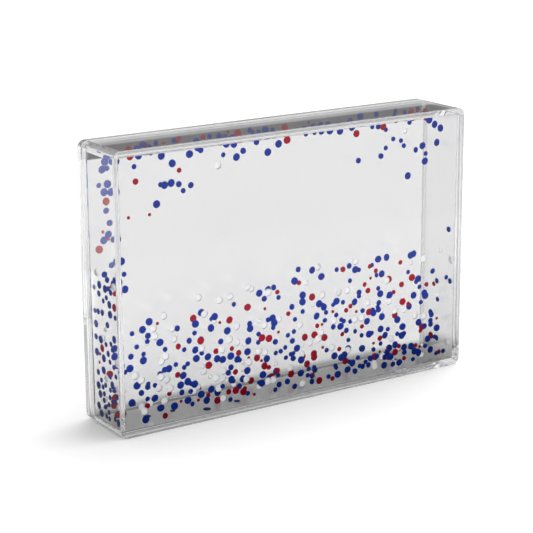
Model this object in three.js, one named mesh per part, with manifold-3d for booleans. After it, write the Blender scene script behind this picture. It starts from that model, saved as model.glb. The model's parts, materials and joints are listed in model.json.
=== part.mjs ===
// Snow globe picture frame: a clear block whose front is a liquid chamber full of confetti and whose back
// is a clear panel on tape strips, with a slot between them, open at the top, for a 152.4 x 101.6 print.
// Millimetres, +Z up. X runs along the width, the window faces -Y, the origin is the middle of the underside.
import * as THREE from "three";
import { mergeVertices } from "three/addons/utils/BufferGeometryUtils.js";
import Module from "manifold-3d";

// Block
const blockWidth = 158.8;
const blockHeight = 107.6;
const blockDepth = 28;
const cornerRadius = 3; // on the four edges that run front to back
const rimRadius = 0.3; // on the edges round the front and the back of each moulded piece

// Front shell, a tray whose floor is the window
const windowThickness = 2.5;
const wallThickness = 2.5;
const chamberCornerRadius = 0.8;
const ledgeWidth = 1.2; // of the step in the wall that the chamber plate sits on

// Chamber plate, which closes the tray from behind
const plateThickness = 2.2;
const bondGap = 0.15; // round a piece that is cemented in

// Back panel and the tape strips that hold it off the shell
const panelThickness = 3;
const slotGap = 0.8; // room for a print, and the thickness of the tape
const tapeWidth = 2.4;
const tapeInset = 0.5; // from the block's outline to the tape

// Fill hole and its plug, in the shell's bottom wall
const plugStemRadius = 2.5;
const plugHeadRadius = 3.6;
const plugHeadHeight = 0.9;
const plugRecess = 0.2; // of the plug's head above the underside
const plugFromRight = 24; // from the block's right side to the plug's axis

// Liquid
const liquidGap = 0.1; // between the liquid's solid and the chamber
const liquidEdge = 0.4; // of liquid between the outside of its solid and a layer of confetti

// Confetti
const discThickness = 0.25;
const discRadii = [1.5, 1.2, 1.0];
const discSpacing = 0.6; // least gap between the rims of two discs of a group
const discGap = 0.3; // between a disc and the liquid's solid
const driftHeight = 40; // of the low drift's crest above the chamber floor
const driftWave = 5; // of that crest
const driftWaveLength = 105;
const driftThinning = 1.4; // above 1, the discs thin out upwards
const driftFall = 8; // how far a drift can sink
const driftRise = 40; // how far a drift can rise when the frame is turned over
const highFall = 60; // how far the high discs can sink
const highLeftShare = 0.6; // of the high discs
const highLeftLength = 75; // of the wedge of discs below the ceiling at the left
const highLeftDrop = 26;
const highRightLength = 37; // of the patch of discs in the top right corner
const highRightDrop = 24;
const seed = 20417;

// Steps of the round shapes
const cornerSteps = 6;
const rimSteps = 2;
const roundSteps = 20;
const past = 1; // by which a cutter reaches past what it cuts

// Worked out from the sizes above
const frontY = -blockDepth / 2;
const shellDepth = blockDepth - panelThickness - slotGap;
const chamberFrontY = frontY + windowThickness;
const chamberBackY = frontY + shellDepth - plateThickness;
const chamberFloorZ = wallThickness;
const chamberCeilingZ = blockHeight - wallThickness;
const chamberHalfWidth = blockWidth / 2 - wallThickness;
const layerHalfWidth = chamberHalfWidth - liquidGap - liquidEdge;
const layerFloorZ = chamberFloorZ + liquidGap + liquidEdge;

// Colours and gloss read from the photograph
const finishes = {
  clear: { color: 0xe6eaec, roughness: 0.03, metalness: 0, transparent: true, opacity: 0.25 },
  liquid: { color: 0xeef1f2, roughness: 0.02, metalness: 0, transparent: true, opacity: 0.1 },
  tape: { color: 0xdfe2e2, roughness: 0.4, metalness: 0, transparent: true, opacity: 0.5 },
  blue: { color: 0x2a3fa0, roughness: 0.35, metalness: 0 },
  red: { color: 0xbe3040, roughness: 0.35, metalness: 0 },
  white: { color: 0xf2f3f3, roughness: 0.35, metalness: 0 },
};

const manifold = await Module();
manifold.setup();

const frame = new THREE.Group();

function add(name, geometry, finish) {
  const mesh = new THREE.Mesh(geometry, new THREE.MeshStandardMaterial(finishes[finish]));
  mesh.name = name;
  frame.add(mesh);
  return mesh;
}

// A closed geometry as a solid that can be cut
function solidOf(geometry) {
  const bare = geometry.clone().deleteAttribute("normal").deleteAttribute("uv");
  const merged = mergeVertices(bare);
  const vertProperties = new Float32Array(merged.getAttribute("position").array);
  const triVerts = new Uint32Array(merged.getIndex().array);
  return new manifold.Manifold(new manifold.Mesh({ numProp: 3, vertProperties, triVerts }));
}

function geometryOf(solid) {
  const { vertProperties, triVerts } = solid.getMesh();
  const geometry = new THREE.BufferGeometry();
  geometry.setAttribute("position", new THREE.BufferAttribute(vertProperties, 3));
  geometry.setIndex(new THREE.BufferAttribute(triVerts, 1));
  geometry.computeVertexNormals();
  return geometry;
}

function cut(geometry, ...cutters) {
  return geometryOf(cutters.reduce((solid, cutter) => solid.subtract(solidOf(cutter)), solidOf(geometry)));
}

// A rounded rectangle in X and Z, centred on X = 0 and standing on Z = bottom
function outline(width, height, radius, bottom) {
  const [left, right, top] = [-width / 2, width / 2, bottom + height];
  const shape = new THREE.Shape();
  shape.moveTo(left + radius, bottom);
  shape.lineTo(right - radius, bottom);
  shape.absarc(right - radius, bottom + radius, radius, -Math.PI / 2, 0);
  shape.lineTo(right, top - radius);
  shape.absarc(right - radius, top - radius, radius, 0, Math.PI / 2);
  shape.lineTo(left + radius, top);
  shape.absarc(left + radius, top - radius, radius, Math.PI / 2, Math.PI);
  shape.lineTo(left, bottom + radius);
  shape.absarc(left + radius, bottom + radius, radius, Math.PI, 1.5 * Math.PI);
  return shape;
}

// A rounded rectangle swept from Y = front to Y = back, with its rims rounded by rim
function block({ width, height, radius, bottom, front, back, rim = 0 }) {
  const geometry = new THREE.ExtrudeGeometry(outline(width, height, radius, bottom), {
    depth: back - front - 2 * rim,
    curveSegments: cornerSteps,
    bevelEnabled: rim > 0,
    bevelThickness: rim,
    bevelSize: rim,
    bevelOffset: -rim,
    bevelSegments: rimSteps,
  });
  return geometry
    .translate(0, 0, rim)
    .rotateX(Math.PI / 2)
    .translate(0, back, 0);
}

// A profile of [radius, height] pairs turned about the Z axis, from the lowest point on the axis up
function turnedAboutZ(profile) {
  const points = profile.map(([radius, height]) => new THREE.Vector2(radius, height));
  return new THREE.LatheGeometry(points, roundSteps).rotateX(Math.PI / 2);
}

// The opening behind the step in the wall, or the plate that fills it but for a gap
function plateBlock(gap, front, back) {
  const inset = wallThickness - ledgeWidth + gap;
  return block({
    width: blockWidth - 2 * inset,
    height: blockHeight - 2 * inset,
    radius: Math.max(chamberCornerRadius, cornerRadius - inset),
    bottom: inset,
    front,
    back,
  });
}

function plugAt(geometry) {
  const middleY = (chamberFrontY + chamberBackY) / 2;
  return geometry.translate(blockWidth / 2 - plugFromRight, middleY, 0);
}

// The plug, or with a gap the hole that it fills, from Z = bottom to Z = top
function plugShape(gap, bottom, top) {
  const shoulder = plugRecess + plugHeadHeight + gap;
  return plugAt(
    turnedAboutZ([
      [0, bottom],
      [plugHeadRadius + gap, bottom],
      [plugHeadRadius + gap, shoulder],
      [plugStemRadius + gap, shoulder],
      [plugStemRadius + gap, top],
      [0, top],
    ]),
  );
}

function frontShell() {
  const tray = block({
    width: blockWidth,
    height: blockHeight,
    radius: cornerRadius,
    bottom: 0,
    front: frontY,
    back: frontY + shellDepth,
    rim: rimRadius,
  });
  const chamber = block({
    width: 2 * chamberHalfWidth,
    height: chamberCeilingZ - chamberFloorZ,
    radius: Math.max(chamberCornerRadius, cornerRadius - wallThickness),
    bottom: chamberFloorZ,
    front: chamberFrontY,
    back: frontY + shellDepth + past,
  });
  const plateRecess = plateBlock(0, chamberBackY, frontY + shellDepth + past);
  const fillHole = plugShape(bondGap, -past, chamberFloorZ + past);
  return cut(tray, chamber, plateRecess, fillHole);
}

function backPanel() {
  return block({
    width: blockWidth,
    height: blockHeight,
    radius: cornerRadius,
    bottom: 0,
    front: frontY + shellDepth + slotGap,
    back: frontY + blockDepth,
    rim: rimRadius,
  });
}

// A strip of tape in the slot, from one corner in X and Z to the opposite one
function tapeStrip(lowX, lowZ, highX, highZ) {
  const middleY = frontY + shellDepth + slotGap / 2;
  return new THREE.BoxGeometry(highX - lowX, slotGap, highZ - lowZ).translate(
    (lowX + highX) / 2,
    middleY,
    (lowZ + highZ) / 2,
  );
}

function addTape() {
  const straightFrom = Math.max(cornerRadius, tapeInset + tapeWidth) + bondGap;
  const outer = blockWidth / 2 - tapeInset;
  const inner = outer - tapeWidth;
  const [sideLow, sideHigh] = [straightFrom, blockHeight - straightFrom];
  const bottomEnd = blockWidth / 2 - straightFrom;
  add("tape_left", tapeStrip(-outer, sideLow, -inner, sideHigh), "tape");
  add("tape_right", tapeStrip(inner, sideLow, outer, sideHigh), "tape");
  add("tape_bottom", tapeStrip(-bottomEnd, tapeInset, bottomEnd, tapeInset + tapeWidth), "tape");
}

// Numbers from 0 to 1 that are the same each time
function randomFrom(start) {
  let state = start;
  return () => {
    state = (Math.imul(state, 1664525) + 1013904223) >>> 0;
    return state / 2 ** 32;
  };
}

// The confetti floats in thin layers, front to back, so that each group can drift past the others
const layerOrder = ["front", "high", "front", "middle", "middle", "back", "high", "back"];

function layersOf(group) {
  const pitch = (chamberBackY - chamberFrontY) / layerOrder.length;
  const middles = layerOrder.map((name, index) => ({ name, y: chamberFrontY + pitch * (index + 0.5) }));
  return middles.filter(({ name }) => name === group).map(({ y }) => y);
}

// The liquid fills the chamber but for those layers, which are left open up to its top
function liquidFill() {
  const fill = block({
    width: 2 * (chamberHalfWidth - liquidGap),
    height: chamberCeilingZ - chamberFloorZ - 2 * liquidGap,
    radius: Math.max(chamberCornerRadius, cornerRadius - wallThickness),
    bottom: chamberFloorZ + liquidGap,
    front: chamberFrontY + liquidGap,
    back: chamberBackY - liquidGap,
  });
  const height = chamberCeilingZ + past - layerFloorZ;
  const layer = new THREE.BoxGeometry(2 * layerHalfWidth, discThickness + 2 * discGap, height);
  const layers = Object.keys(counts)
    .flatMap(layersOf)
    .map((y) => layer.clone().translate(0, y, layerFloorZ + height / 2));
  return cut(fill, ...layers);
}

// The low drift lies under a wavy crest, thinning out upwards
function placeInDrift(random, radius) {
  const x = (2 * random() - 1) * (layerHalfWidth - radius - discGap);
  const crest = driftHeight + driftWave * Math.sin((2 * Math.PI * x) / driftWaveLength);
  const low = layerFloorZ + driftFall + radius + discGap;
  const high = Math.min(chamberFloorZ + crest, chamberCeilingZ - driftRise - radius - discGap);
  return { x, z: low + (high - low) * random() ** driftThinning };
}

// The high discs fill a wedge under the ceiling at the left and a patch in the top right corner
function placeHigh(random, radius) {
  const side = layerHalfWidth - radius - discGap;
  const high = chamberCeilingZ - radius - discGap;
  const low = layerFloorZ + highFall + radius + discGap;
  const along = random();
  const left = random() < highLeftShare;
  const x = left ? -side + along * highLeftLength : side - along * highRightLength;
  const drop = random() * (left ? (1 - along) * highLeftDrop : highRightDrop);
  return { x, z: Math.max(low, high - drop) };
}

// The discs' names in the order in which they are placed, such as front_blue_disc_1
const counts = {
  front: { blue: 7, red: 3, white: 2 },
  middle: { blue: 7, red: 3, white: 2 },
  back: { blue: 7, red: 3, white: 2 },
  high: { blue: 9, red: 3, white: 2 },
};

function placeClear(place, random, radius, placed) {
  const clear = (spot) =>
    placed.every((other) => Math.hypot(spot.x - other.x, spot.z - other.z) > radius + other.radius + discSpacing);
  let spot = place(random, radius);
  while (!clear(spot)) spot = place(random, radius);
  return spot;
}

function discGeometry(radius) {
  const half = discThickness / 2;
  const profile = [
    [0, -half],
    [radius, -half],
    [radius, half],
    [0, half],
  ].map(([r, y]) => new THREE.Vector2(r, y));
  return new THREE.LatheGeometry(profile, roundSteps);
}

function addConfetti(group, random) {
  const layers = layersOf(group);
  const place = group === "high" ? placeHigh : placeInDrift;
  const placed = [];
  for (const [colour, count] of Object.entries(counts[group])) {
    for (let number = 1; number <= count; number += 1) {
      const radius = discRadii[placed.length % discRadii.length];
      const y = layers[placed.length % layers.length];
      const spot = placeClear(place, random, radius, placed);
      add(`${group}_${colour}_disc_${number}`, discGeometry(radius), colour).position.set(spot.x, y, spot.z);
      placed.push({ ...spot, radius });
    }
  }
}

add("front_shell", frontShell(), "clear");
add("chamber_plate", plateBlock(bondGap, chamberBackY, frontY + shellDepth), "clear");
add("fill_plug", plugShape(0, plugRecess, chamberFloorZ), "clear");
add("back_panel", backPanel(), "clear");
addTape();
add("liquid_fill", liquidFill(), "liquid");

const random = randomFrom(seed);
for (const group of Object.keys(counts)) addConfetti(group, random);

export default frame;
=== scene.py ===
import json
import math
import random

import bmesh
import bpy
from mathutils import Matrix, Vector


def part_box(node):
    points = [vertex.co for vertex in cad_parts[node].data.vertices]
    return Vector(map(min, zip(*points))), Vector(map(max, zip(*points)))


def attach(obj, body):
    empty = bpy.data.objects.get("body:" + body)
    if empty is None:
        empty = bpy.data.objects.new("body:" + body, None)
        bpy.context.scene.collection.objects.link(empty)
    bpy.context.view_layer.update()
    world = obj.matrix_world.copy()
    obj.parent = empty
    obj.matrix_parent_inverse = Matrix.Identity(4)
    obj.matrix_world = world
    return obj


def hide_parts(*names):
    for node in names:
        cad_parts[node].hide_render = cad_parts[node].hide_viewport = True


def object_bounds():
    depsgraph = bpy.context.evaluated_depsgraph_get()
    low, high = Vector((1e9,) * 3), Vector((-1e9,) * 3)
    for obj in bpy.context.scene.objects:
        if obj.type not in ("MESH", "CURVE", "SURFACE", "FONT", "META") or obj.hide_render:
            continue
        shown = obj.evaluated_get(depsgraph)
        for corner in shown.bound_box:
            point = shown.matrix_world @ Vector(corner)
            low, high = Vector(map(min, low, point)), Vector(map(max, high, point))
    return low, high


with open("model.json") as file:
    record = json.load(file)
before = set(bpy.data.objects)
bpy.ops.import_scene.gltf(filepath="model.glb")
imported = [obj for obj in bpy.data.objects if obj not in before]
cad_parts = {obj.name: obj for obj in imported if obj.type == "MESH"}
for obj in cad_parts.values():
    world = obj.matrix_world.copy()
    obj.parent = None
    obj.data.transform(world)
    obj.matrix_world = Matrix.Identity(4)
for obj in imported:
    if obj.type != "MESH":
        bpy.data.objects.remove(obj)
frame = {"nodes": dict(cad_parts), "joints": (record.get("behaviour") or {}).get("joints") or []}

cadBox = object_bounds()
scene = bpy.context.scene
mm = 0.001
print("stage: frame loaded")


# Helpers

# An sRGB hex colour as linear red, green, blue and alpha
def linearColour(code):
    values = [int(code[i:i + 2], 16) / 255 for i in (1, 3, 5)]
    return [v / 12.92 if v <= 0.04045 else ((v + 0.055) / 1.055) ** 2.4 for v in values] + [1.0]


# Adds a node. Settings name its properties or its unlinked inputs, links name the inputs that a socket feeds.
def addNode(tree, kind, settings=None, links=None):
    node = tree.nodes.new(kind)
    for name, value in (settings or {}).items():
        if isinstance(name, int) or name in node.inputs:
            node.inputs[name].default_value = value
        else:
            setattr(node, name, value)
    for name, socket in (links or {}).items():
        tree.links.new(socket, node.inputs[name])
    return node


# Gives an input a value, or links a socket to it
def feed(tree, place, given):
    if isinstance(given, bpy.types.NodeSocket):
        tree.links.new(given, place)
    else:
        place.default_value = given


# A mix of two colours by a share, where each is a value or a socket
def mixColours(tree, share, first, second, blend="MIX"):
    node = addNode(tree, "ShaderNodeMix", {"data_type": "RGBA", "blend_type": blend})
    for place, given in ((0, share), (6, first), (7, second)):
        feed(tree, node.inputs[place], given)
    return node.outputs[2]


# The same for two numbers
def mixValues(tree, share, first, second):
    node = addNode(tree, "ShaderNodeMix", {"data_type": "FLOAT"})
    for place, given in ((0, share), (2, first), (3, second)):
        feed(tree, node.inputs[place], given)
    return node.outputs[0]


# A closed mesh through rings of points that all have as many points, with a face over each end
def meshFromRings(name, rings, sharpAbove=35):
    bm = bmesh.new()
    rows = [[bm.verts.new(point) for point in ring] for ring in rings]
    for near, far in zip(rows, rows[1:]):
        for i in range(len(near)):
            j = (i + 1) % len(near)
            bm.faces.new((near[i], near[j], far[j], far[i]))
    bm.faces.new(rows[0])
    bm.faces.new(rows[-1])
    bmesh.ops.recalc_face_normals(bm, faces=bm.faces)
    mesh = bpy.data.meshes.new(name)
    bm.to_mesh(mesh)
    bm.free()
    piece = bpy.data.objects.new(name, mesh)
    scene.collection.objects.link(piece)
    shadeByAngle(mesh, sharpAbove)
    return piece


# Smooth faces, with every edge that turns by more than the angle left sharp
def shadeByAngle(mesh, degrees=35):
    bm = bmesh.new()
    bm.from_mesh(mesh)
    for face in bm.faces:
        face.smooth = True
    for edge in bm.edges:
        edge.smooth = len(edge.link_faces) == 2 and edge.calc_face_angle() < math.radians(degrees)
    bm.to_mesh(mesh)
    bm.free()


# The piece's shape with its modifiers applied, as a plain mesh
def applyModifiers(piece):
    graph = bpy.context.evaluated_depsgraph_get()
    mesh = bpy.data.meshes.new_from_object(piece.evaluated_get(graph))
    piece.modifiers.clear()
    piece.data = mesh


# Puts a piece in place of its CAD nodes
def standFor(piece, body, slotName, *nodes):
    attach(piece, body)
    if nodes:
        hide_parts(*nodes)


# Camera, at the photograph's place: 0.68 m from the block, a little above it and to its left
camera = {
    "location": Vector((-355.398, -536.998, 226.740)) * mm,
    "yaw": -33.019,       # degrees to the right of straight ahead
    "pitch": 15.276,      # degrees down
    "roll": -0.375,
    "lens": 115.514,      # mm, on a 36 mm sensor
}
cameraData = bpy.data.cameras.new("camera")
cameraData.lens = camera["lens"]
cameraData.sensor_width = 36
cameraData.clip_start = 0.01
cameraData.clip_end = 50
cameraObject = bpy.data.objects.new("camera", cameraData)
scene.collection.objects.link(cameraObject)
cameraObject.matrix_world = (
    Matrix.Translation(camera["location"])
    @ Matrix.Rotation(math.radians(camera["yaw"]), 4, "Z")
    @ Matrix.Rotation(math.radians(90 - camera["pitch"]), 4, "X")
    @ Matrix.Rotation(math.radians(camera["roll"]), 4, "Z")
)
scene.camera = cameraObject
scene.view_settings.view_transform = "Standard"
scene.cycles.max_bounces = 150           # light runs along inside a clear sheet for many bounces
scene.cycles.transmission_bounces = 150
scene.cycles.glossy_bounces = 150
scene.cycles.diffuse_bounces = 3
scene.cycles.transparent_max_bounces = 48
scene.cycles.caustics_reflective = False
scene.cycles.caustics_refractive = False
scene.cycles.sample_clamp_indirect = 6
scene.cycles.use_denoising = True
print("stage: camera")


# Studio: a white table under soft light, which the camera sees as white everywhere. What shows through and
# in the clear pieces is the same table a little darker, with painted shade and painted light on it around the
# block, painted dark reflections that stand for grey cards, its back edge, and a room: light at the left and
# in front, dark behind and to the right, where a low screen stands, and light overhead.
studio = {
    "floorHalfSize": 8.0,       # metres
    "floorGap": 0.05 * mm,      # below the block, as under anything that stands on a table
    "tableWhite": "#F4F4F4",
    "paintedGlowUnder": 0.17,          # painted light: a glow for what the block's clear body lets down onto the table under it
    "glowFadeAlong": 3 * mm,    # from the block's ends inwards, in which that comes up
    "glowFadeAcross": 2 * mm,   # and from its front and back
    "seenShare": 0.82,          # of the table's brightness, where it is seen through or in a clear piece
    "tableBackEdge": 0.447,     # metres behind the block's middle
    "floorBehindStart": 0.4865,  # where the floor shows behind the table
    # Painted shade: past the table's back edge a dark grey strip, for the shadow in the gap there, seen only
    # in the clear pieces
    "tableEdgeGrey": 0.20,
    "floorBehindGrey": 0.90,
    "edgeSoftness": 0.002,
    "paintedReflectionGrey": 0.13,           # painted dark reflection at the left, for a card that keeps reflections off the discs
    "paintedCardEdge": 3 * mm,         # in which it comes up beside the block
    "leftPaintedCardEnd": 0.195,       # metres behind the block's middle, and how softly it ends
    "paintedCardSoftness": 0.012,
    "mirroredNear": -0.034,     # painted reflection: what the window mirrors of the table in front is dark up to here,
    "mirroredFar": -0.164,      # and as light as it gets from here on
    "mirroredGrey": 0.36,
    # Painted light and shade on the table, seen only through the clear pieces:
    "leftSlope": 0.53,          # of the lines from the block's left and right ends along which its shades end
    "rightSlope": 0.80,
    "slopeSoftness": 4 * mm,
    "rightStart": 11 * mm,      # how far behind the block's middle the right line leaves its end
    "windowNear": 1.12,         # of the table's brightness, seen through the window: at the block's back
    "windowFar": 0.95,          # and from this far on
    "windowShadeFar": 0.24,
    "leftNear": 1.14,           # the same through the left wall, up to the painted card's end and past it
    "leftFar": 0.88,
    "rightShade": 0.80,         # and through the right wall
    "rightNearShade": 0.45,     # right beside the block, between these two distances from its end
    "rightNearStart": 2 * mm,
    "rightNearReach": 25 * mm,
    "frontShadeStart": 60 * mm,  # the distances in front of the block between which that shade fades away
    "frontShadeEnd": 120 * mm,
    # Painted shade under and behind the block, seen only in the clear pieces: how far behind the block's
    # middle, in mm, and what share of its brightness the table keeps there
    "shadeStops": ((-38, 0.68), (-15, 0.55), (-13, 0.82), (12, 0.85), (14, 0.10), (18, 0.25), (26, 1.0)),
    "shadeReach": 40 * mm,      # the farthest that those stops can lie
    "shadeSide": 20 * mm,       # how far past the block's ends the shade behind it fades away
    "ambient": 0.50,            # of the room, as it lights matt surfaces
    "sunStrength": 2.3,
    "sunAngle": 60,             # degrees across, which makes its shadows soft
    "sunFrom": (0.60, 0.08, 1.0),
    "fillStrength": 4.2,
    "fillFrom": (-0.60, -1.0, 0.15),
    "screenTop": 0.2215,        # height of the screen's upper edge over its distance
    "screenSoftness": 0.001,
    "screenGrey": 0.54,
    "roomDark": 0.165,
    "roomDim": 0.29,            # the dark part from some way up
    "dimLow": 0.25,             # the sines of the heights between which it gets so
    "dimHigh": 0.36,
    "roomLight": 0.75,
    "roomSplit": -0.055,        # the sine of the direction, to the left, where the dark part ends
    "splitSoftness": 0.015,
    "overheadLow": 0.40,        # and those between which the room gets light overhead
    "overheadHigh": 0.65,
}


# Math nodes in a row: each step is an operation and its second value or socket
def chain(tree, socket, *steps):
    for operation, second in steps:
        node = addNode(tree, "ShaderNodeMath", {"operation": operation}, {0: socket})
        feed(tree, node.inputs[1], second)
        socket = node.outputs[0]
    return socket


# A ramp from one value to another between two places
def ramp(tree, socket, low, high, atLow=0.0, atHigh=1.0):
    return addNode(tree, "ShaderNodeMapRange", {1: low, 2: high, 3: atLow, 4: atHigh}, {0: socket}).outputs[0]


# 1 for what shows through or in a clear piece, and 0 for light that reaches a matt surface through one
def seenInClear(tree):
    path = addNode(tree, "ShaderNodeLightPath").outputs
    direct = chain(tree, path["Diffuse Depth"], ("LESS_THAN", 0.5))
    return chain(tree, path["Is Glossy Ray"], ("MAXIMUM", path["Is Transmission Ray"]), ("MULTIPLY", direct))


# Painted shade: the share of its brightness that the table keeps where it is seen in a clear piece: little
# under and behind the block
def paintedTableShade(tree, x, y):
    reach, stops = studio["shadeReach"], studio["shadeStops"]
    place = ramp(tree, y, -reach, reach)
    shade = addNode(tree, "ShaderNodeValToRGB", links={0: place})
    marks = shade.color_ramp.elements
    while len(marks) < len(stops):
        marks.new(0.5)
    for mark, (at, level) in zip(marks, stops):
        mark.position = 0.5 + 0.5 * at * mm / reach
        mark.color = (level, level, level, 1)
    side = chain(tree, x, ("ABSOLUTE", 0.0), ("SUBTRACT", cadBox[1][0]))
    beside = ramp(tree, side, 0.0, studio["shadeSide"])
    return mixColours(tree, beside, shade.outputs[0], (1, 1, 1, 1))


# Painted light and shade: the same for the table farther off, as it is seen through the window and through
# the side walls
def paintedSideLightAndShade(tree, x, y):
    soft = studio["slopeSoftness"]
    side, front, back = cadBox[1][0], cadBox[0][1], cadBox[1][1]
    rightEdge = side - studio["rightSlope"] * studio["rightStart"]
    leftEdge = cadBox[0][0] - studio["leftSlope"] * front
    fromRight = chain(tree, y, ("MULTIPLY", -studio["rightSlope"]), ("ADD", x))
    fromLeft = chain(tree, y, ("MULTIPLY", -studio["leftSlope"]), ("ADD", x))
    notFar = ramp(tree, y, front - studio["frontShadeEnd"], front - studio["frontShadeStart"])
    right = chain(tree, ramp(tree, fromRight, rightEdge - soft, rightEdge), ("MULTIPLY", notFar))
    notRight = chain(tree, right, ("MULTIPLY", -1.0), ("ADD", 1.0))
    left = ramp(tree, fromLeft, leftEdge, leftEdge - soft)
    notLeft = ramp(tree, fromLeft, leftEdge - soft, leftEdge)
    gain = ramp(tree, y, back, studio["windowShadeFar"], studio["windowNear"] - 1, studio["windowFar"] - 1)
    behindBlock = ramp(tree, y, back - mm, back)
    window = chain(tree, gain, ("MULTIPLY", behindBlock), ("MULTIPLY", notLeft), ("MULTIPLY", notRight))
    end = studio["leftPaintedCardEnd"]
    depth = ramp(tree, y, end, end + studio["paintedCardSoftness"], studio["leftNear"] - 1, studio["leftFar"] - 1)
    atLeft = chain(tree, depth, ("MULTIPLY", left), ("MULTIPLY", ramp(tree, y, front, 0.0)))
    atRight = chain(tree, right, ("MULTIPLY", studio["rightShade"] - 1))
    kept = chain(tree, window, ("ADD", atLeft), ("ADD", atRight), ("ADD", 1.0))
    start, reach = studio["rightNearStart"], studio["rightNearReach"]
    near = ramp(tree, x, side + start, side + reach, studio["rightNearShade"], 1.0)
    return chain(tree, near, ("MAXIMUM", notRight), ("MULTIPLY", kept))


# Painted reflection: what a clear piece mirrors once of the table around it is dark: in front of the block
# less so with the distance, and at the left as far as the painted card there reaches
def paintedReflectionShare(tree, x, y):
    depth = addNode(tree, "ShaderNodeLightPath").outputs["Glossy Depth"]
    once = addNode(tree, "ShaderNodeMath", {"operation": "COMPARE", 1: 1.0, 2: 0.5}, {0: depth}).outputs[0]
    front, left = cadBox[0][1], cadBox[0][0]
    inFront = ramp(tree, y, front + mm, front)
    toLeft = chain(tree, y, ("MULTIPLY", studio["leftSlope"]), ("ADD", x))
    edge, end = left + studio["leftSlope"] * cadBox[1][1], studio["leftPaintedCardEnd"]
    atLeft = chain(
        tree,
        ramp(tree, toLeft, edge, edge - studio["paintedCardEdge"]),
        ("MULTIPLY", ramp(tree, y, front, 0.0)),
        ("MULTIPLY", ramp(tree, y, end + studio["paintedCardSoftness"], end)),
    )
    grey = ramp(tree, y, studio["mirroredNear"], studio["mirroredFar"], 0.0, studio["mirroredGrey"])
    cards = mixValues(tree, inFront, studio["paintedReflectionGrey"], grey)
    return chain(tree, inFront, ("MAXIMUM", atLeft), ("MULTIPLY", once)), cards


# Painted light: a glow on the table under the block, which is no lamp
def paintedGlowUnder(tree, x, y, seen):
    end, back = cadBox[1][0], cadBox[1][1]
    along = ramp(tree, chain(tree, x, ("ABSOLUTE", 0.0)), end, end - studio["glowFadeAlong"])
    across = ramp(tree, chain(tree, y, ("ABSOLUTE", 0.0)), back, back - studio["glowFadeAcross"])
    return chain(tree, along, ("MULTIPLY", across), ("MULTIPLY", seen), ("MULTIPLY", studio["paintedGlowUnder"]))


def makeFloor():
    size = studio["floorHalfSize"]
    mesh = bpy.data.meshes.new("floor")
    corners = [(-size, -size), (size, -size), (size, size), (-size, size)]
    mesh.from_pydata([(x, y, cadBox[0][2] - studio["floorGap"]) for x, y in corners], [], [(0, 1, 2, 3)])
    floor = bpy.data.objects.new("floor", mesh)
    scene.collection.objects.link(floor)
    material = bpy.data.materials.new("matt white table")
    material.use_nodes = True
    tree = material.node_tree
    tree.nodes.clear()
    place = addNode(tree, "ShaderNodeTexCoord")
    parts = addNode(tree, "ShaderNodeSeparateXYZ", links={0: place.outputs["Object"]}).outputs
    seen = seenInClear(tree)
    # Painted shade and painted light on the table, only where it shows in the clear pieces
    level = chain(tree, paintedSideLightAndShade(tree, parts["X"], parts["Y"]), ("MULTIPLY", studio["seenShare"]))
    dimmed = mixColours(tree, 1.0, paintedTableShade(tree, parts["X"], parts["Y"]), level, "MULTIPLY")
    kept = mixColours(tree, seen, (1, 1, 1, 1), dimmed)
    white = mixColours(tree, 1.0, linearColour(studio["tableWhite"]), kept, "MULTIPLY")
    lit = addNode(tree, "ShaderNodeBsdfDiffuse", links={"Color": white})
    # Painted light under the block
    glow = addNode(
        tree, "ShaderNodeEmission", links={"Strength": paintedGlowUnder(tree, parts["X"], parts["Y"], seen)}
    )
    table = addNode(tree, "ShaderNodeAddShader", links={0: lit.outputs[0], 1: glow.outputs[0]})
    # Painted shade past the table's back edge, then the floor behind
    start, soft = studio["floorBehindStart"], studio["edgeSoftness"]
    grey = ramp(tree, parts["Y"], start, start + soft, studio["tableEdgeGrey"], studio["floorBehindGrey"])
    # Painted reflections: dark greys on the table, only where a clear piece mirrors it once
    onPaintedReflection, paintedReflectionGrey = paintedReflectionShare(tree, parts["X"], parts["Y"])
    beyond = addNode(tree, "ShaderNodeEmission", links={"Color": mixValues(tree, onPaintedReflection, grey, paintedReflectionGrey)})
    behind = ramp(tree, parts["Y"], studio["tableBackEdge"], studio["tableBackEdge"] + soft)
    offTable = chain(tree, behind, ("MAXIMUM", onPaintedReflection), ("MULTIPLY", seen))
    mixed = addNode(
        tree, "ShaderNodeMixShader", links={0: offTable, 1: table.outputs[0], 2: beyond.outputs[0]}
    )
    addNode(tree, "ShaderNodeOutputMaterial", links={"Surface": mixed.outputs[0]})
    mesh.materials.append(material)


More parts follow.
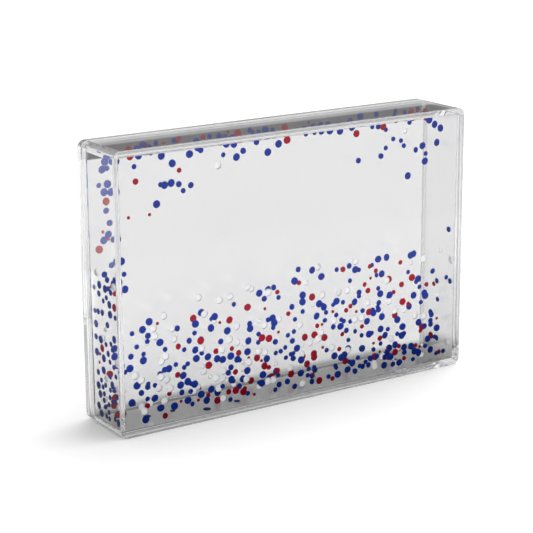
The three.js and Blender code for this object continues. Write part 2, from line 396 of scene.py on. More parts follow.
def makeWorld():
    world = bpy.data.worlds.new("studio")
    scene.world = world
    world.use_nodes = True
    tree = world.node_tree
    tree.nodes.clear()
    level = studio["ambient"]
    ambient = addNode(tree, "ShaderNodeBackground", {"Color": (level, level, level, 1)})
    white = addNode(tree, "ShaderNodeBackground", {"Color": (1, 1, 1, 1)})
    place = addNode(tree, "ShaderNodeTexCoord")
    parts = addNode(tree, "ShaderNodeSeparateXYZ", links={0: place.outputs["Generated"]}).outputs
    overScreen = chain(tree, parts["Y"], ("MULTIPLY", -studio["screenTop"]), ("ADD", parts["Z"]))
    dark = ramp(tree, parts["Z"], studio["dimLow"], studio["dimHigh"], studio["roomDark"], studio["roomDim"])
    onScreen = ramp(tree, overScreen, studio["screenSoftness"], 0.0)
    low = mixValues(tree, onScreen, dark, studio["screenGrey"])
    split, soft = studio["roomSplit"], studio["splitSoftness"]
    toRight = ramp(tree, parts["X"], split - soft, split + soft)
    behind = ramp(tree, parts["Y"], -soft, soft)
    corner = chain(tree, toRight, ("MULTIPLY", behind))
    light = studio["roomLight"]
    darkening = chain(tree, low, ("SUBTRACT", light), ("MULTIPLY", corner))
    room = chain(tree, darkening, ("ADD", light))
    overhead = ramp(tree, parts["Z"], studio["overheadLow"], studio["overheadHigh"])
    surroundings = addNode(
        tree, "ShaderNodeBackground", links={"Color": mixValues(tree, overhead, room, 1.0)}
    )
    path = addNode(tree, "ShaderNodeLightPath")
    seen = addNode(
        tree,
        "ShaderNodeMixShader",
        links={0: seenInClear(tree), 1: ambient.outputs[0], 2: surroundings.outputs[0]},
    )
    behindAll = addNode(
        tree,
        "ShaderNodeMixShader",
        links={0: path.outputs["Is Camera Ray"], 1: seen.outputs[0], 2: white.outputs[0]},
    )
    addNode(tree, "ShaderNodeOutputWorld", links={"Surface": behindAll.outputs[0]})


def makeLamp(name, strength, angle, direction, shadows):
    light = bpy.data.lights.new(name, "SUN")
    light.energy = strength
    light.angle = math.radians(angle)
    light.use_shadow = shadows
    lamp = bpy.data.objects.new(name, light)
    lamp.visible_glossy = False          # no glare in the tape and the edges
    lamp.visible_transmission = False
    scene.collection.objects.link(lamp)
    lamp.rotation_euler = Vector(direction).to_track_quat("Z", "Y").to_euler()


makeFloor()
makeWorld()
makeLamp("softbox", studio["sunStrength"], studio["sunAngle"], studio["sunFrom"], True)
makeLamp("fill", studio["fillStrength"], studio["sunAngle"], studio["fillFrom"], False)
print("stage: studio")


# Sizes of the clear moulded pieces
moulded = {
    "cornerRadius": 3.0 * mm,
    "rimRadius": 0.18 * mm,
    "chamberCornerRadius": 0.5 * mm,
    "wall": 2.5 * mm,
    "ledge": 1.2 * mm,
    "floorFillet": 0.15 * mm,   # inside the tray, where its walls meet the window
    "guard": 0.2 * mm,          # from the end of a round to the ring that keeps the flat beside it flat
    "contact": 0.02 * mm,       # between two pieces that touch
    "leastRadius": 0.05 * mm,   # of a corner
    "plateChamfer": 0.12 * mm,
    "liquidChamfer": 0.4 * mm,
    "weldReach": 0.1 * mm,      # from the side, past the corners' middle, that still counts as the right edge
    "near": 0.01 * mm,          # within which two places are the same
    "cornerSteps": 16,
    "rimSteps": 6,
}


# Materials

# Acrylic, moulded and polished: nearly colourless, a touch of grey in every wall, and faint waves left by
# polishing.
acrylic = {
    "clear": "#FEFEFE",
    "clearWorn": "#FCFCFC",
    "index": 1.49,
    "roughness": 0.0,
    "polishScale": 22,        # mm between the waves of the polish
    "polishDepth": 0.0003,    # mm
    "shadow": 0.70,           # of a lamp's light that each surface lets through
}


def makeAcrylic(name, settings):
    material = bpy.data.materials.new(name)
    material.use_nodes = True
    tree = material.node_tree
    tree.nodes.clear()
    place = addNode(tree, "ShaderNodeTexCoord")
    waves = addNode(
        tree,
        "ShaderNodeTexNoise",
        {"Scale": 1 / (settings["polishScale"] * mm), "Detail": 2.0, "Roughness": 0.4},
        {"Vector": place.outputs["Object"]},
    )
    clean, worn = linearColour(settings["clear"]), linearColour(settings["clearWorn"])
    tint = mixColours(tree, waves.outputs["Fac"], clean, worn)
    bump = addNode(
        tree,
        "ShaderNodeBump",
        {"Strength": 1.0, "Distance": settings["polishDepth"] * mm},
        {"Height": waves.outputs["Fac"]},
    )
    clear = addNode(
        tree,
        "ShaderNodeBsdfPrincipled",
        {"Roughness": settings["roughness"], "IOR": settings["index"], "Transmission Weight": 1.0},
        {"Base Color": tint, "Normal": bump.outputs[0]},
    )
    level = settings["shadow"]
    shadowed = addNode(tree, "ShaderNodeBsdfTransparent", {"Color": (level, level, level, 1)})
    path = addNode(tree, "ShaderNodeLightPath")
    mixed = addNode(
        tree,
        "ShaderNodeMixShader",
        links={0: path.outputs["Is Shadow Ray"], 1: clear.outputs[0], 2: shadowed.outputs[0]},
    )
    addNode(tree, "ShaderNodeOutputMaterial", links={"Surface": mixed.outputs[0]})
    return material


polishedAcrylic = makeAcrylic("polished acrylic", acrylic)
# Thin clear liquid. It bends no light here, because in the photograph the chamber looks as if it held air.
liquidLook = dict(acrylic, clear="#FFFFFF", clearWorn="#FEFEFE", index=1.0, polishDepth=0.0, shadow=0.99)
clearLiquid = makeAcrylic("clear liquid", liquidLook)
# Gel tape: greyer than the acrylic, and rough enough to blur what lies behind it.
tapeLook = dict(acrylic, clear="#EEEEEE", clearWorn="#E2E2E2", index=1.47, roughness=0.12, polishScale=2)
gelTape = makeAcrylic("clear gel tape", tapeLook)
# Two pieces welded with acrylic cement: light goes straight on through the weld, which takes a trace of it.
weldLook = dict(acrylic, clear="#FBFBFC", clearWorn="#F6F6F8", index=1.0, polishDepth=0.0, shadow=0.98)
cementWeld = makeAcrylic("acrylic cement weld", weldLook)

# Confetti punched from printed film: strong colour, slightly uneven ink, hardly a highlight in the liquid,
# and thin enough that some light comes through.
film = {
    "blue": ("#112E80", "#0F2773"),
    "red": ("#8D0A26", "#800720"),
    "white": ("#DADADB", "#D2D2D4"),
    "roughness": 0.45,
    "inkScale": 0.9,          # mm between blotches of ink
    "index": 1.12,            # film's 1.57 over the liquid's 1.40
    # Painted shade: low down the discs are darker in their colour, for the shade they cast on each other: the
    # share of its brightness that one keeps on the floor
    "paintedShadeLow": {"blue": 0.42, "red": 0.42, "white": 0.7},
    "paintedShadeFrom": 3.75 * mm,  # the height above which it keeps more
    "paintedShadeDepth": 20 * mm,   # and how much higher it keeps all
    # Colour and share of the light that comes through one face
    "throughTint": {"blue": "#7F9BF5", "red": "#F07A90", "white": "#FFFFFF"},
    "throughShare": {"blue": 0.32, "red": 0.32, "white": 0.25},
    "paintedRimShade": "#85888F",    # painted shade where a white disc's bent rim turns down and to the right, away from the light
    "paintedShadeFacing": (0.7, 0.0, -0.7),
    "rimFrom": 0.12,
    "rimTo": 0.36,
}


def makeFilm(colour):
    material = bpy.data.materials.new(colour + " film")
    material.use_nodes = True
    tree = material.node_tree
    tree.nodes.clear()
    place = addNode(tree, "ShaderNodeTexCoord")
    ink = addNode(
        tree,
        "ShaderNodeTexNoise",
        {"Scale": 1 / (film["inkScale"] * mm), "Detail": 3.0},
        {"Vector": place.outputs["Object"]},
    )
    light, dark = film[colour]
    inked = mixColours(tree, ink.outputs["Fac"], linearColour(light), linearColour(dark))
    # Painted shade: the discs darker towards the floor
    height = addNode(tree, "ShaderNodeSeparateXYZ", links={0: place.outputs["Object"]}).outputs["Z"]
    start, least = film["paintedShadeFrom"], film["paintedShadeLow"][colour]
    paintedShadeLevel = ramp(tree, height, start, start + film["paintedShadeDepth"], least, 1.0)
    shaded = mixColours(tree, 1.0, inked, paintedShadeLevel, "MULTIPLY")
    # Painted shade on the side of a white disc's rim that faces down and to the right, away from the light
    if colour == "white":
        facing = addNode(tree, "ShaderNodeNewGeometry").outputs["Normal"]
        towards = addNode(
            tree, "ShaderNodeVectorMath", {"operation": "DOT_PRODUCT", 1: film["paintedShadeFacing"]}, {0: facing}
        )
        turnedAway = ramp(tree, towards.outputs["Value"], film["rimFrom"], film["rimTo"])
        rim = mixColours(tree, turnedAway, (1, 1, 1, 1), linearColour(film["paintedRimShade"]))
        shaded = mixColours(tree, 1.0, shaded, rim, "MULTIPLY")
    surface = addNode(
        tree,
        "ShaderNodeBsdfPrincipled",
        {"Roughness": film["roughness"], "IOR": film["index"]},
        {"Base Color": shaded},
    )
    share = film["throughShare"][colour]
    passed = [share * value for value in linearColour(film["throughTint"][colour])[:3]] + [1.0]
    through = mixColours(tree, paintedShadeLevel, (0, 0, 0, 1), passed)
    letThrough = addNode(tree, "ShaderNodeBsdfTranslucent", links={"Color": through})
    both = addNode(tree, "ShaderNodeAddShader", links={0: surface.outputs[0], 1: letThrough.outputs[0]})
    addNode(tree, "ShaderNodeOutputMaterial", links={"Surface": both.outputs[0]})
    return material


films = {colour: makeFilm(colour) for colour in ("blue", "red", "white")}
print("stage: materials")


# Clear moulded pieces


# A rounded rectangle in X and Z, inset from the block's outline, at one depth
def outlineRing(inset, y, leastRadius=0.0):
    low, high = cadBox
    radius = max(moulded["cornerRadius"] - inset, leastRadius, moulded["leastRadius"])
    right, top, bottom = high[0] - inset - radius, high[2] - inset - radius, low[2] + inset + radius
    points = []
    for x, z, start in ((right, bottom, -90), (right, top, 0), (-right, top, 90), (-right, bottom, 180)):
        steps = moulded["cornerSteps"]
        for i in range(-1, steps + 2):
            angle = math.radians(start + 90 * min(max(i, 0), steps) / steps)
            along = moulded["guard"] * (-1 if i < 0 else 1 if i > steps else 0)
            points.append((
                x + radius * math.cos(angle) - along * math.sin(angle),
                y,
                z + radius * math.sin(angle) + along * math.cos(angle),
            ))
    return points


# The rings of a rounded rim, from the flat face at one depth to the side wall. Inward is +1 where the side
# lies at higher Y than the face, and -1 where it lies at lower Y.
def rimRings(inset, faceY, inward):
    radius, guard, steps = moulded["rimRadius"], moulded["guard"], moulded["rimSteps"]
    rings = [outlineRing(inset + radius + guard, faceY)]
    for i in range(steps + 1):
        angle = math.radians(90 * i / steps)
        across, deep = radius * (1 - math.sin(angle)), radius * (1 - math.cos(angle))
        rings.append(outlineRing(inset + across, faceY + inward * deep))
    rings.append(outlineRing(inset, faceY + inward * (radius + guard)))
    return rings


def makeShell():
    low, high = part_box("front_shell")
    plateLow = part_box("chamber_plate")[0]
    wall, ledge, fillet = moulded["wall"], moulded["ledge"], moulded["floorFillet"]
    least = moulded["chamberCornerRadius"]
    windowY = low.y + wall
    rings = rimRings(0, low.y, 1) + rimRings(0, high.y, -1)[::-1]
    rings.append(outlineRing(wall - ledge, high.y, least))
    rings.append(outlineRing(wall - ledge, plateLow.y, least))
    rings.append(outlineRing(wall, plateLow.y, least))
    steps = moulded["rimSteps"]
    rings.append(outlineRing(wall, windowY + fillet + moulded["guard"], least))
    for i in range(steps + 1):
        angle = math.radians(90 * i / steps)
        across, deep = fillet * (1 - math.cos(angle)), fillet * (1 - math.sin(angle))
        rings.append(outlineRing(wall + across, windowY + deep, least))
    rings.append(outlineRing(wall + fillet + moulded["guard"], windowY, least))
    shell = meshFromRings("frontShell", rings)
    shell.data.materials.append(polishedAcrylic)
    return shell


# How far a point lies inside the block's outline, across X and Z
def insetOf(point):
    low, high = Vector(cadBox[0]), Vector(cadBox[1])
    radius = moulded["cornerRadius"]
    x = abs(point.x - (low.x + high.x) / 2) - (high.x - low.x) / 2 + radius
    z = abs(point.z - (low.z + high.z) / 2) - (high.z - low.z) / 2 + radius
    return radius - math.hypot(max(x, 0), max(z, 0)) - min(max(x, z), 0)


# The plate's right edge, where the cement was run in
def isRightJoint(point):
    inset = insetOf(point)
    return inset < moulded["wall"] and cadBox[1][0] - point.x < inset + moulded["weldReach"]


# Gives the faces that a test picks the look of the cement weld
def weldFaces(piece, test):
    piece.data.materials.append(cementWeld)
    for face in piece.data.polygons:
        if test(face.center, face.normal):
            face.material_index = len(piece.data.materials) - 1


def makePlate():
    low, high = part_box("chamber_plate")
    inset = cadBox[1][0] - high.x
    front, back = low.y + moulded["contact"], high.y
    edge, least = moulded["plateChamfer"], moulded["chamberCornerRadius"]
    rings = [
        outlineRing(moulded["wall"], front, least),
        outlineRing(inset + edge, front, least),
        outlineRing(inset, front + edge, least),
        outlineRing(inset, back - edge, least),
        outlineRing(inset + edge, back, least),
    ]
    plate = meshFromRings("chamberPlate", rings)
    plate.data.materials.append(polishedAcrylic)
    weldFaces(plate, lambda middle, facing: isRightJoint(middle) and facing.y < 0.5)
    standFor(plate, "frame", "clear_acrylic", "chamber_plate")


def makePanel():
    low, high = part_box("back_panel")
    panel = meshFromRings("backPanel", rimRings(0, low.y, 1) + rimRings(0, high.y, -1)[::-1])
    panel.data.materials.append(polishedAcrylic)
    standFor(panel, "frame", "clear_acrylic", "back_panel")


def makeLiquid():
    low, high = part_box("liquid_fill")
    inset = cadBox[1][0] - high.x
    edge, least = moulded["liquidChamfer"], moulded["chamberCornerRadius"]
    rings = [
        outlineRing(inset + edge, low.y, least),
        outlineRing(inset, low.y + edge, least),
        outlineRing(inset, high.y - edge, least),
        outlineRing(inset + edge, high.y, least),
    ]
    liquid = meshFromRings("liquid", rings, sharpAbove=80)
    liquid.data.materials.append(clearLiquid)
    standFor(liquid, "frame", "clear_liquid", "liquid_fill")


# A profile of radius and height turned about an upright axis
def turned(name, profile, centre, steps=48):
    rings = []
    for radius, height in profile:
        ring = []
        for i in range(steps):
            angle = 2 * math.pi * i / steps
            ring.append((centre.x + radius * math.cos(angle), centre.y + radius * math.sin(angle), height))
        rings.append(ring)
    return meshFromRings(name, rings)


plug = {
    "headRadius": 3.6 * mm,
    "stemRadius": 2.5 * mm,
    "gap": 0.15 * mm,
    "recess": 0.2 * mm,
    "headHeight": 0.9 * mm,
    "chamfer": 0.2 * mm,
    "dimpleRadius": 1.4 * mm,
    "dimpleDepth": 0.25 * mm,
    "dimpleFloor": 0.6,       # of the dimple's radius
    "holeBeyond": 1 * mm,     # how far the hole's cutter reaches past the wall on both sides
}


def makePlug(shell):
    low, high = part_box("fill_plug")
    centre = (low + high) / 2
    head, stem, gap, cut = plug["headRadius"], plug["stemRadius"], plug["gap"], plug["chamfer"]
    shoulder = plug["recess"] + plug["headHeight"]
    beyond = plug["holeBeyond"]
    hole = turned(
        "fillHole",
        [
            (head + gap, -beyond),
            (head + gap, shoulder + gap),
            (stem + gap, shoulder + gap),
            (stem + gap, moulded["wall"] + beyond),
        ],
        centre,
    )
    modifier = shell.modifiers.new("fillHole", "BOOLEAN")
    modifier.object = hole
    modifier.operation = "DIFFERENCE"
    modifier.solver = "EXACT"
    applyModifiers(shell)
    shadeByAngle(shell.data)
    bpy.data.objects.remove(hole)
    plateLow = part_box("chamber_plate")[0]
    ledgeInset, near = moulded["wall"] - moulded["ledge"], moulded["near"]

    # The hole's wall and the ledge's right side are welded
    def isWelded(middle, facing):
        inHole = math.hypot(middle.x - centre.x, middle.y - centre.y) < head + 2 * gap
        onWall = inHole and middle.z < moulded["wall"] and abs(facing.z) < 0.9
        onShoulder = inHole and abs(middle.z - shoulder - gap) < near
        onLedge = middle.y > plateLow.y - near and insetOf(middle) > ledgeInset - near
        return onWall or onShoulder or (onLedge and isRightJoint(middle))

    weldFaces(shell, isWelded)
    profile = [
        (plug["dimpleRadius"] * plug["dimpleFloor"], low.z + plug["dimpleDepth"]),
        (plug["dimpleRadius"], low.z),
        (head - cut, low.z),
        (head, low.z + cut),
        (head, shoulder),
        (stem, shoulder),
        (stem, high.z - cut),
        (stem - cut, high.z),
    ]
    piece = turned("fillPlug", profile, centre)
    piece.data.materials.append(polishedAcrylic)
    weldFaces(piece, lambda middle, facing: low.z + cut < middle.z < high.z - cut)
    standFor(piece, "frame", "clear_acrylic", "fill_plug")
    standFor(shell, "frame", "clear_acrylic", "front_shell")


# Strips of clear gel tape, with slightly bulging and uneven sides
tape = {
    "waver": 0.05 * mm,       # of a strip's sides
    "step": 2.0 * mm,
    "bulge": 0.12 * mm,
    "contact": 0.02 * mm,
    "seed": 7,
}


def makeTape(node, pieceName):
    low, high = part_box(node)
    rng = random.Random(tape["seed"])
    upright = high.z - low.z > high.x - low.x
    start, end = (low.z, high.z) if upright else (low.x, high.x)
    sideLow, sideHigh = (low.x, high.x) if upright else (low.z, high.z)
    front, back = low.y + tape["contact"], high.y - tape["contact"]
    middle = (front + back) / 2
    count = round((end - start) / tape["step"])
    rings = []
    for i in range(count + 1):
        along = start + (end - start) * i / count
        left = sideLow + tape["bulge"] + tape["waver"] * rng.random()
        right = sideHigh - tape["bulge"] - tape["waver"] * rng.random()
        section = [
            (left, front), (right, front), (right + tape["bulge"], middle), (right, back), (left, back),
            (left - tape["bulge"], middle),
        ]
        rings.append([(s, y, along) if upright else (along, y, s) for s, y in section])
    strip = meshFromRings(pieceName, rings, sharpAbove=25)
    strip.data.materials.append(gelTape)
    standFor(strip, "frame", "clear_tape", node)


shellPiece = makeShell()
makePlug(shellPiece)
makePlate()
makePanel()
makeLiquid()
makeTape("tape_left", "tapeLeft")
makeTape("tape_right", "tapeRight")
makeTape("tape_bottom", "tapeBottom")
print("stage: clear pieces")


# Confetti: thin discs of film adrift in the chamber. One piece for each body and colour holds a disc at the
# place of each of the CAD model's discs, and a few hundred more around them: some in the same layers, which
# drift with them, and some at rest in between.
confetti = {
    "seed": 31,
    "radii": (1.5 * mm, 1.2 * mm, 1.0 * mm),
    "shares": (0.45, 0.17, 0.38),  # of the three sizes
    "tinyRadius": 0.65 * mm,
    "tinyShare": 0.25,             # of the red discs
    "whiteLarge": 0.8,             # share of the white discs that are of the largest size
    "sides": 28,
    "rim": 0.06,                   # of the radius, which a printed disc's rounded rim takes
    "whiteThickness": 0.10 * mm,
    "dish": 0.40 * mm,             # how far a white disc's rim bends back
    "dishProfile": ((0.518, 0.0), (0.74, 0.02), (0.818, 0.30), (1.0, 1.0)),  # shares of its radius and dish
    "backShare": 0.97,             # of the radius, which its back takes
    "tilt": 7,                     # degrees, at most, from lying parallel to the window
    "layerDepth": 0.8 * mm,
    "rimGap": 0.15 * mm,           # at least, between the rims of two discs of a layer
    "wallGap": 0.85 * mm,          # from the liquid's side to the nearest rim
    "floorGap": 0.8 * mm,          # from the liquid's underside to the lowest rim
    "flatGap": 0.25 * mm,          # from a wall or the floor to the middle of a disc that lies against it
    "flatTilt": 0.35,              # share of the tilt that such a disc still has
    "restHeight": 10 * mm,         # of the discs at rest just above the floor
    "restGap": 0.3 * mm,           # from the liquid's underside to the lowest of their rims
    "restThinning": 1.7,
    "restOverlap": 0.7,            # share of them that may lie over others
    "frontPull": 2.3,              # above 1, the discs at rest gather towards the window
    "crestLeft": 36 * mm,          # height of the drift's crest at the left end and from the middle on
    "crestRight": 48 * mm,
    "thinning": 1.5,               # above 1, the drift thins out upwards
    "heaps": (-56 * mm, -16 * mm, 14 * mm, 40 * mm, 60 * mm),  # where the drift is thicker
    "heapWidth": 11 * mm,
    "heapShare": 0.35,
    "wedgeLength": 72 * mm,        # of the discs under the ceiling, and their depth at the left wall
    "wedgeDepth": 30 * mm,
    "patchLength": 27 * mm,        # of the discs in the top right corner
    "patchDepth": 18 * mm,
    "patchShare": 0.5,
    "endLength": 6 * mm,           # of the discs at rest at the left end
    "endBottom": 50 * mm,
    "wallHeight": 60 * mm,         # of the discs that lie against the side walls
    "wallThinning": 2.3,
    "ceilingDepth": 2.4 * mm,      # of the discs that gather right under the ceiling
    "ceilingGap": 0.3 * mm,
    "ceilingFront": 0 * mm,        # and the depth from which on they do
    "lookSlope": (0.65, -0.32),    # across and up per depth, along which few discs lie over each other
    "overlapShare": 0.25,
    "overlap": 0.8,                # of two radii, within which one lies over the other
    "attempts": 60,                # for each disc
}

# How many discs each body gets beside those of the CAD model, as blue, red and white
batches = (
    ("front", "drift", (50, 18, 26)),
    ("middle", "drift", (50, 18, 24)),
    ("back", "drift", (50, 18, 20)),
    ("high", "ceiling", (28, 4, 0)),
    ("frame", "rest", (84, 40, 24)),
    ("frame", "leftEnd", (20, 6, 0)),
    ("frame", "leftWall", (54, 4, 7)),
    ("frame", "rightWall", (6, 2, 2)),
    ("frame", "underCeiling", (30, 14, 0)),
    ("frame", "floor", (4, 2, 0)),
)
colours = ("blue", "red", "white")
liquidLow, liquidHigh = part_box("liquid_fill")


# The CAD discs of one group
def cadDiscs(group):
    found = []
    for name in frame["nodes"]:
        if name.startswith(group + "_") and "_disc_" in name:
            low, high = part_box(name)
            spot = {"middle": (low + high) / 2, "radius": (high.x - low.x) / 2, "facing": Vector((0, 1, 0))}
            found.append(dict(spot, piece=(group, name.split("_")[1]), lean=0.0, node=name))
    return found


def layersOf(group):
    return sorted({round(spot["middle"].y, 5) for spot in cadDiscs(group)})


movingGroups = ("front", "middle", "back", "high")
allLayers = sorted(y for group in movingGroups for y in layersOf(group))
webs = [(near + far) / 2 for near, far in zip(allLayers, allLayers[1:])]


# How far a group can sink
def fallOf(group):
    for joint in frame["joints"]:
        if joint["child"] == group + "_confetti":
            return -joint["range_m"][0]
    return 0.0


# A place in the drift: across the chamber with a few heaps, and thinner towards a sloping crest
def driftSpot(rng, radius, group, top=None):
    side = liquidHigh.x - confetti["wallGap"] - radius
    x = 2 * side
    while abs(x) > side:
        if rng.random() < confetti["heapShare"]:
            x = rng.gauss(rng.choice(confetti["heaps"]), confetti["heapWidth"])
        else:
            x = rng.uniform(-side, side)
    gap = confetti["floorGap"] if top is None else confetti["restGap"]
    bottom = liquidLow.z + gap + fallOf(group) + radius
    if top is None:
        share = min(1.0, (x + side) / side)
        top = confetti["crestLeft"] + (confetti["crestRight"] - confetti["crestLeft"]) * share
        z = bottom + (top - bottom) * rng.random() ** confetti["thinning"]
    else:
        z = bottom + (top - bottom) * rng.random() ** confetti["restThinning"]
    return x, z


# A place under the ceiling: in a wedge at the left or in a patch at the top right
def ceilingSpot(rng, radius):
    side = liquidHigh.x - confetti["wallGap"] - radius
    top = liquidHigh.z - confetti["floorGap"] - radius
    if rng.random() < confetti["patchShare"]:
        return side - confetti["patchLength"] * rng.random(), top - confetti["patchDepth"] * rng.random()
    share = rng.random()
    depth = confetti["wedgeDepth"] * (1 - share) * rng.random()
    return -side + confetti["wedgeLength"] * share, top - depth


# The middle of a disc, and the way that it faces
def spotFor(rng, radius, group, rule):
    flat = confetti["flatGap"]
    layer = webs[int(len(webs) * rng.random() ** confetti["frontPull"])] if group == "frame" else None
    layer = rng.choice(layersOf(group)) if layer is None else layer
    side = liquidHigh.x - confetti["wallGap"] - radius
    bottom = liquidLow.z + confetti["floorGap"] + radius
    depthLow, depthHigh = liquidLow.y + radius + flat, liquidHigh.y - radius - flat
    if rule == "drift":
        x, z = driftSpot(rng, radius, group)
        return Vector((x, layer, z)), Vector((0, 1, 0))
    if rule == "ceiling":
        x, z = ceilingSpot(rng, radius)
        return Vector((x, layer, z)), Vector((0, 1, 0))
    if rule == "rest":
        x, z = driftSpot(rng, radius, group, liquidLow.z + confetti["restHeight"])
        return Vector((x, layer, z)), Vector((0, 1, 0))
    if rule == "underCeiling":
        layer = rng.choice([y for y in webs if y > confetti["ceilingFront"]])
        top = liquidHigh.z - confetti["ceilingGap"] - radius
        x, z = rng.uniform(-side, side), rng.uniform(top - confetti["ceilingDepth"], top)
        return Vector((x, layer, z)), Vector((0, 1, 0))
    if rule == "leftEnd":
        layer = rng.choice([y for y in webs if y > confetti["ceilingFront"]])
        x = -side + confetti["endLength"] * rng.random()
        z = rng.uniform(confetti["endBottom"], liquidHigh.z - confetti["floorGap"] - radius)
        return Vector((x, layer, z)), Vector((0, 1, 0))
    if rule == "floor":
        x = rng.uniform(-side, side)
        return Vector((x, rng.uniform(depthLow, depthHigh), liquidLow.z + flat)), Vector((0, 0, 1))
    x = liquidHigh.x - flat
    z = bottom + (confetti["wallHeight"] - bottom) * rng.random() ** confetti["wallThinning"]
    return Vector((-x if rule == "leftWall" else x, rng.uniform(depthLow, depthHigh), z)), Vector((1, 0, 0))


# Two discs that face the same way are clear of each other where they lie in other layers or side by side
def isClear(spot, other):
    if spot["facing"] != other["facing"]:
        return True
    apart = spot["middle"] - other["middle"]
    depth = apart.dot(spot["facing"])
    across = (apart - depth * spot["facing"]).length
    reach = spot["radius"] + other["radius"] + confetti["rimGap"]
    return abs(depth) > confetti["layerDepth"] or across > reach


def isOver(spot, other):
    apart = spot["middle"] - other["middle"]
    slopeX, slopeZ = confetti["lookSlope"]
    shift = math.hypot(apart.x - slopeX * apart.y, apart.z - slopeZ * apart.y)
    bothFacing = spot["facing"].y and other["facing"].y
    return bothFacing and shift < confetti["overlap"] * (spot["radius"] + other["radius"])


def placeConfetti():
    rng = random.Random(confetti["seed"])
    placed, tally = [], []
    for group in movingGroups:
        placed += cadDiscs(group)
    for group, rule, counts in batches:
        for colour, count in zip(colours, counts):
            done = 0
            for attempt in range(count * confetti["attempts"]):
                radius = rng.choices(confetti["radii"], confetti["shares"])[0]
                if colour == "red" and rng.random() < confetti["tinyShare"]:
                    radius = confetti["tinyRadius"]
                if colour == "white" and rng.random() < confetti["whiteLarge"]:
                    radius = confetti["radii"][0]
                middle, facing = spotFor(rng, radius, group, rule)
                spot = {
                    "middle": middle,
                    "radius": radius,
                    "facing": facing,
                    "lean": 1.0 if facing.y else confetti["flatTilt"],
                    "piece": (group, colour),
                }
                mayLieOver = rng.random() < confetti["restOverlap" if rule == "rest" else "overlapShare"]
                if not all(isClear(spot, other) for other in placed):
                    continue
                if mayLieOver or not any(isOver(spot, other) for other in placed):
                    placed.append(spot)
                    done += 1
                if done == count:
                    break
            tally.append(done)
    print("confetti placed", tally)
    return placed


# A disc of unit radius through a profile of radius and depth. A printed one is flat with a rounded rim, a
# white one is dished: its rim bends back, away from the window, because soft film curls off the punch.
def makeDiscShape(name, profile):
    rings = []
    for radius, depth in profile:
        ring = []
        for k in range(confetti["sides"]):
            turn = 2 * math.pi * k / confetti["sides"]
            ring.append((radius * math.cos(turn), radius * math.sin(turn), depth))
        rings.append(ring)
    return meshFromRings(name, rings, sharpAbove=70)


def discProfiles():
    cadLow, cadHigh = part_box("front_blue_disc_1")
    half = (cadHigh.y - cadLow.y) / 2
    flat = [
        (1 - (1 - math.cos(angle)) * confetti["rim"], half * math.sin(angle))
        for angle in (math.radians(a) for a in (-90, -45, 0, 45, 90))
    ]
    thin, dish = confetti["whiteThickness"], confetti["dish"]
    front = [(radius, -half + dish * depth) for radius, depth in confetti["dishProfile"]]
    back = [(radius * confetti["backShare"], depth + thin) for radius, depth in reversed(front)]
    return flat, front + back


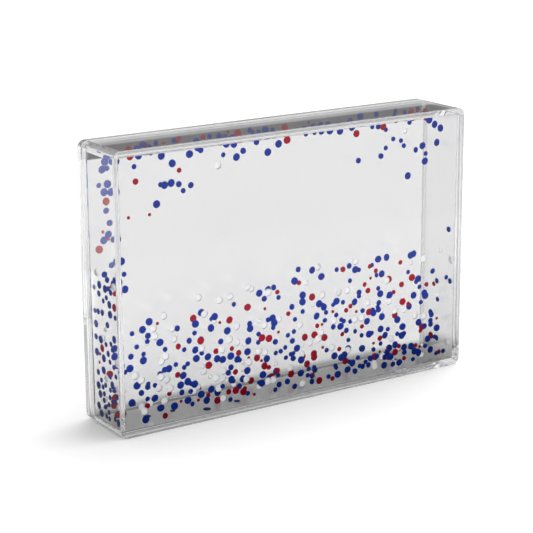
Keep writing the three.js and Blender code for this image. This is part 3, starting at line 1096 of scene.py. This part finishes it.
# A node tree that puts a disc on every point, with the point's radius, facing its way but for a small seeded
# tilt
def makeConfettiTree():
    tree = bpy.data.node_groups.new("confetti on points", "GeometryNodeTree")
    sockets = (
        ("Points", "NodeSocketGeometry"),
        ("Disc", "NodeSocketObject"),
        ("Tilt", "NodeSocketFloat"),
        ("Seed", "NodeSocketInt"),
        ("Film", "NodeSocketMaterial"),
    )
    for name, kind in sockets:
        tree.interface.new_socket(name, in_out="INPUT", socket_type=kind)
    tree.interface.new_socket("Discs", in_out="OUTPUT", socket_type="NodeSocketGeometry")
    given = addNode(tree, "NodeGroupInput").outputs
    facing = addNode(tree, "GeometryNodeInputNamedAttribute", {"data_type": "FLOAT_VECTOR", "Name": "facing"})
    radius = addNode(tree, "GeometryNodeInputNamedAttribute", {"data_type": "FLOAT", "Name": "discRadius"})
    lean = addNode(tree, "GeometryNodeInputNamedAttribute", {"data_type": "FLOAT", "Name": "lean"})
    upright = addNode(
        tree, "FunctionNodeAlignRotationToVector", {"axis": "Z"}, {"Vector": facing.outputs["Attribute"]}
    )
    tilt = addNode(
        tree, "ShaderNodeMath", {"operation": "MULTIPLY"}, {0: given["Tilt"], 1: lean.outputs["Attribute"]}
    )
    least = addNode(tree, "ShaderNodeMath", {"operation": "MULTIPLY", 1: -1.0}, {0: tilt.outputs[0]})
    most = addNode(tree, "ShaderNodeCombineXYZ", links={"X": tilt.outputs[0], "Y": tilt.outputs[0]})
    low = addNode(tree, "ShaderNodeCombineXYZ", links={"X": least.outputs[0], "Y": least.outputs[0]})
    turn = addNode(
        tree,
        "FunctionNodeRandomValue",
        {"data_type": "FLOAT_VECTOR"},
        {0: low.outputs[0], 1: most.outputs[0], "Seed": given["Seed"]},
    )
    tilted = addNode(tree, "FunctionNodeEulerToRotation", links={0: turn.outputs[0]})
    rotation = addNode(
        tree,
        "FunctionNodeRotateRotation",
        {"rotation_space": "LOCAL"},
        {"Rotation": upright.outputs[0], "Rotate By": tilted.outputs[0]},
    )
    size = addNode(
        tree,
        "ShaderNodeCombineXYZ",
        {"Z": 1.0},
        {"X": radius.outputs["Attribute"], "Y": radius.outputs["Attribute"]},
    )
    shape = addNode(tree, "GeometryNodeObjectInfo", links={"Object": given["Disc"]})
    points = addNode(tree, "GeometryNodeMeshToPoints", links={"Mesh": given["Points"]})
    discs = addNode(
        tree,
        "GeometryNodeInstanceOnPoints",
        links={
            "Points": points.outputs[0],
            "Instance": shape.outputs["Geometry"],
            "Rotation": rotation.outputs[0],
            "Scale": size.outputs[0],
        },
    )
    real = addNode(tree, "GeometryNodeRealizeInstances", links={"Geometry": discs.outputs[0]})
    filmed = addNode(
        tree, "GeometryNodeSetMaterial", links={"Geometry": real.outputs[0], "Material": given["Film"]}
    )
    addNode(tree, "NodeGroupOutput", links={"Discs": filmed.outputs[0]})
    return tree


def makeConfetti():
    placed = placeConfetti()
    tree = makeConfettiTree()
    flatProfile, dishedProfile = discProfiles()
    printed = makeDiscShape("printedDisc", flatProfile)
    dished = makeDiscShape("dishedDisc", dishedProfile)
    identifiers = {item.name: item.identifier for item in tree.interface.items_tree if item.in_out == "INPUT"}
    for order, key in enumerate(sorted({spot["piece"] for spot in placed})):
        group, colour = key
        spots = [spot for spot in placed if spot["piece"] == key]
        mesh = bpy.data.meshes.new(f"{group}{colour.title()}Confetti")
        mesh.from_pydata([spot["middle"] for spot in spots], [], [])
        for name, kind in (("facing", "FLOAT_VECTOR"), ("discRadius", "FLOAT"), ("lean", "FLOAT")):
            mesh.attributes.new(name, kind, "POINT")
        mesh.attributes["facing"].data.foreach_set("vector", [v for spot in spots for v in spot["facing"]])
        mesh.attributes["discRadius"].data.foreach_set("value", [spot["radius"] for spot in spots])
        mesh.attributes["lean"].data.foreach_set("value", [spot["lean"] for spot in spots])
        piece = bpy.data.objects.new(mesh.name, mesh)
        scene.collection.objects.link(piece)
        modifier = piece.modifiers.new("confetti", "NODES")
        modifier.node_group = tree
        modifier[identifiers["Disc"]] = dished if colour == "white" else printed
        modifier[identifiers["Tilt"]] = math.radians(confetti["tilt"])
        modifier[identifiers["Seed"]] = confetti["seed"] + order
        modifier[identifiers["Film"]] = films[colour]
        applyModifiers(piece)
        body = "frame" if group == "frame" else group + "_confetti"
        standFor(piece, body, colour + "_confetti", *[spot["node"] for spot in spots if "node" in spot])
    for shape in (printed, dished):
        bpy.data.objects.remove(shape)


makeConfetti()
print("stage: confetti")
